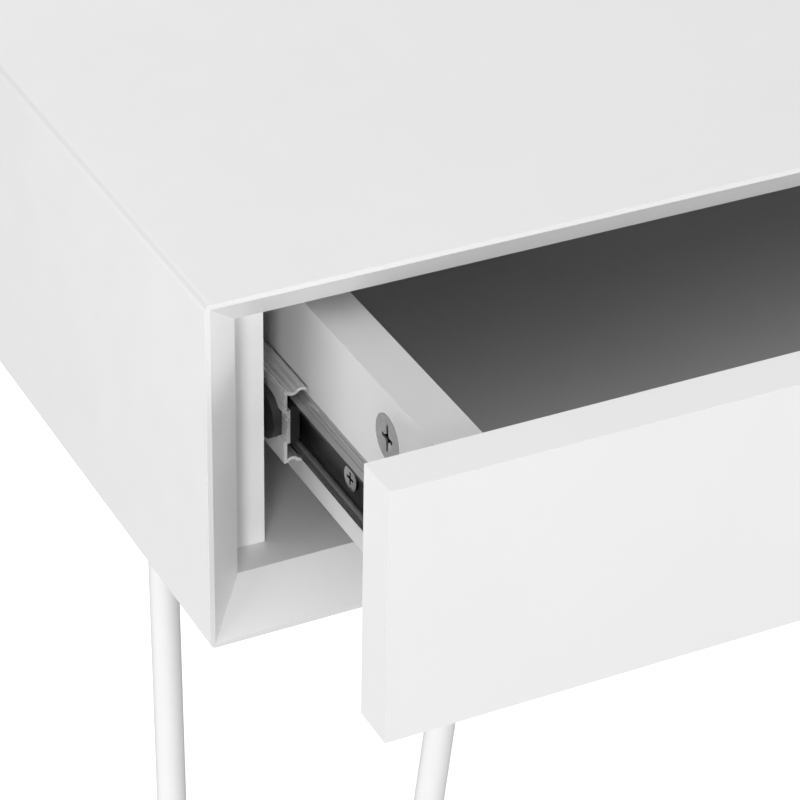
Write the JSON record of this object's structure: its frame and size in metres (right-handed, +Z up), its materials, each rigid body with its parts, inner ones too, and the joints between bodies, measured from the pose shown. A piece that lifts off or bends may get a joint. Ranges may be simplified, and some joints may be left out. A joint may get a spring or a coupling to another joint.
{
  "type": "writing desk with drawers",
  "caption": "White writing desk: a mitred, bevelled box on hairpin legs, with side-by-side drawers on ball-bearing slides.",
  "frame": {"origin": "on the floor, under the middle of the whole desk as it stands with its left drawer part open", "axes": "+X to the sitter's right, +Y to the back, +Z up"},
  "size_m": [1.2268, 0.6464, 0.75],
  "materials": {
    "white_lacquer": "white satin lacquer on fibreboard",
    "raw_packing": "white-faced board",
    "drawer_board": "white lacquered board",
    "grey_bottom": "dark grey faced thin board",
    "zinc_steel": "bright zinc-plated cold-formed steel",
    "cage_steel": "zinc-plated strip with steel balls",
    "screw_steel": "nickel-plated steel",
    "cam_zinc": "die-cast zinc",
    "leg_paint": "white powder coat on steel rod",
    "pad_rubber": "light grey rubber",
    "black_nylon": "black moulded nylon"
  },
  "bodies": {
    "desk": {"top_panel": "white_lacquer", "bottom_panel": "white_lacquer", "left_side_panel": "white_lacquer", "right_side_panel": "white_lacquer", "back_panel": "white_lacquer", "left_packing_board": "raw_packing", "right_packing_board": "raw_packing", "centre_board_left": "raw_packing", "centre_board_right": "raw_packing", "box_screws": "screw_steel", "front_left_leg_rod": "leg_paint", "front_right_leg_rod": "leg_paint", "back_left_leg_rod": "leg_paint", "back_right_leg_rod": "leg_paint", "leg_plates": "leg_paint", "leg_screws": "screw_steel", "floor_pads": "pad_rubber", "left_bay_left_cabinet_member": "zinc_steel", "left_bay_right_cabinet_member": "zinc_steel", "right_bay_left_cabinet_member": "zinc_steel", "right_bay_right_cabinet_member": "zinc_steel", "cabinet_slide_screws": "screw_steel"},
    "left_drawer": {"left_drawer_front": "white_lacquer", "left_drawer_left_side": "drawer_board", "left_drawer_right_side": "drawer_board", "left_drawer_back": "drawer_board", "left_drawer_bottom": "grey_bottom", "left_drawer_cam_locks": "cam_zinc", "left_drawer_cam_bolts": "screw_steel", "left_drawer_back_screws": "screw_steel", "left_drawer_left_slide_member": "zinc_steel", "left_drawer_right_slide_member": "zinc_steel", "left_drawer_slide_screws": "screw_steel"},
    "right_drawer": {"right_drawer_front": "white_lacquer", "right_drawer_left_side": "drawer_board", "right_drawer_right_side": "drawer_board", "right_drawer_back": "drawer_board", "right_drawer_bottom": "grey_bottom", "right_drawer_cam_locks": "cam_zinc", "right_drawer_cam_bolts": "screw_steel", "right_drawer_back_screws": "screw_steel", "right_drawer_left_slide_member": "zinc_steel", "right_drawer_right_slide_member": "zinc_steel", "right_drawer_slide_screws": "screw_steel"},
    "left_bay_left_middle_member": {"left_bay_left_middle_member": "zinc_steel", "left_bay_left_bumper": "black_nylon"},
    "left_bay_right_middle_member": {"left_bay_right_middle_member": "zinc_steel", "left_bay_right_bumper": "black_nylon"},
    "left_bay_left_outer_cage": {"left_bay_left_outer_cage": "cage_steel"},
    "left_bay_right_outer_cage": {"left_bay_right_outer_cage": "cage_steel"},
    "left_bay_left_inner_cage": {"left_bay_left_inner_cage": "cage_steel"},
    "left_bay_right_inner_cage": {"left_bay_right_inner_cage": "cage_steel"},
    "right_bay_left_middle_member": {"right_bay_left_middle_member": "zinc_steel", "right_bay_left_bumper": "black_nylon"},
    "right_bay_right_middle_member": {"right_bay_right_middle_member": "zinc_steel", "right_bay_right_bumper": "black_nylon"},
    "right_bay_left_outer_cage": {"right_bay_left_outer_cage": "cage_steel"},
    "right_bay_right_outer_cage": {"right_bay_right_outer_cage": "cage_steel"},
    "right_bay_left_inner_cage": {"right_bay_left_inner_cage": "cage_steel"},
    "right_bay_right_inner_cage": {"right_bay_right_inner_cage": "cage_steel"}
  },
  "joints": [
    {"name": "left_drawer_slide", "type": "slide", "parent": "desk", "child": "left_drawer", "axis": [0, -1, 0], "range_m": [-0.092, 0.258]},
    {"name": "right_drawer_slide", "type": "slide", "parent": "desk", "child": "right_drawer", "axis": [0, -1, 0], "range_m": [0, 0.35]},
    {"name": "left_bay_left_middle_member_slide", "type": "slide", "parent": "desk", "child": "left_bay_left_middle_member", "axis": [0, -1, 0], "range_m": [-0.046, 0.129]},
    {"name": "left_bay_right_middle_member_slide", "type": "slide", "parent": "desk", "child": "left_bay_right_middle_member", "axis": [0, -1, 0], "range_m": [-0.046, 0.129]},
    {"name": "left_bay_left_outer_cage_slide", "type": "slide", "parent": "desk", "child": "left_bay_left_outer_cage", "axis": [0, -1, 0], "range_m": [-0.023, 0.0645]},
    {"name": "left_bay_right_outer_cage_slide", "type": "slide", "parent": "desk", "child": "left_bay_right_outer_cage", "axis": [0, -1, 0], "range_m": [-0.023, 0.0645]},
    {"name": "left_bay_left_inner_cage_slide", "type": "slide", "parent": "desk", "child": "left_bay_left_inner_cage", "axis": [0, -1, 0], "range_m": [-0.069, 0.1935]},
    {"name": "left_bay_right_inner_cage_slide", "type": "slide", "parent": "desk", "child": "left_bay_right_inner_cage", "axis": [0, -1, 0], "range_m": [-0.069, 0.1935]},
    {"name": "right_bay_left_middle_member_slide", "type": "slide", "parent": "desk", "child": "right_bay_left_middle_member", "axis": [0, -1, 0], "range_m": [0, 0.175]},
    {"name": "right_bay_right_middle_member_slide", "type": "slide", "parent": "desk", "child": "right_bay_right_middle_member", "axis": [0, -1, 0], "range_m": [0, 0.175]},
    {"name": "right_bay_left_outer_cage_slide", "type": "slide", "parent": "desk", "child": "right_bay_left_outer_cage", "axis": [0, -1, 0], "range_m": [0, 0.0875]},
    {"name": "right_bay_right_outer_cage_slide", "type": "slide", "parent": "desk", "child": "right_bay_right_outer_cage", "axis": [0, -1, 0], "range_m": [0, 0.0875]},
    {"name": "right_bay_left_inner_cage_slide", "type": "slide", "parent": "desk", "child": "right_bay_left_inner_cage", "axis": [0, -1, 0], "range_m": [0, 0.2625]},
    {"name": "right_bay_right_inner_cage_slide", "type": "slide", "parent": "desk", "child": "right_bay_right_inner_cage", "axis": [0, -1, 0], "range_m": [0, 0.2625]}
  ],
  "couplings": [
    {"joint": "left_bay_left_middle_member_slide", "follows": "left_drawer_slide", "ratio": 0.5},
    {"joint": "left_bay_right_middle_member_slide", "follows": "left_drawer_slide", "ratio": 0.5},
    {"joint": "left_bay_left_outer_cage_slide", "follows": "left_drawer_slide", "ratio": 0.25},
    {"joint": "left_bay_right_outer_cage_slide", "follows": "left_drawer_slide", "ratio": 0.25},
    {"joint": "left_bay_left_inner_cage_slide", "follows": "left_drawer_slide", "ratio": 0.75},
    {"joint": "left_bay_right_inner_cage_slide", "follows": "left_drawer_slide", "ratio": 0.75},
    {"joint": "right_bay_left_middle_member_slide", "follows": "right_drawer_slide", "ratio": 0.5},
    {"joint": "right_bay_right_middle_member_slide", "follows": "right_drawer_slide", "ratio": 0.5},
    {"joint": "right_bay_left_outer_cage_slide", "follows": "right_drawer_slide", "ratio": 0.25},
    {"joint": "right_bay_right_outer_cage_slide", "follows": "right_drawer_slide", "ratio": 0.25},
    {"joint": "right_bay_left_inner_cage_slide", "follows": "right_drawer_slide", "ratio": 0.75},
    {"joint": "right_bay_right_inner_cage_slide", "follows": "right_drawer_slide", "ratio": 0.75}
  ]
}
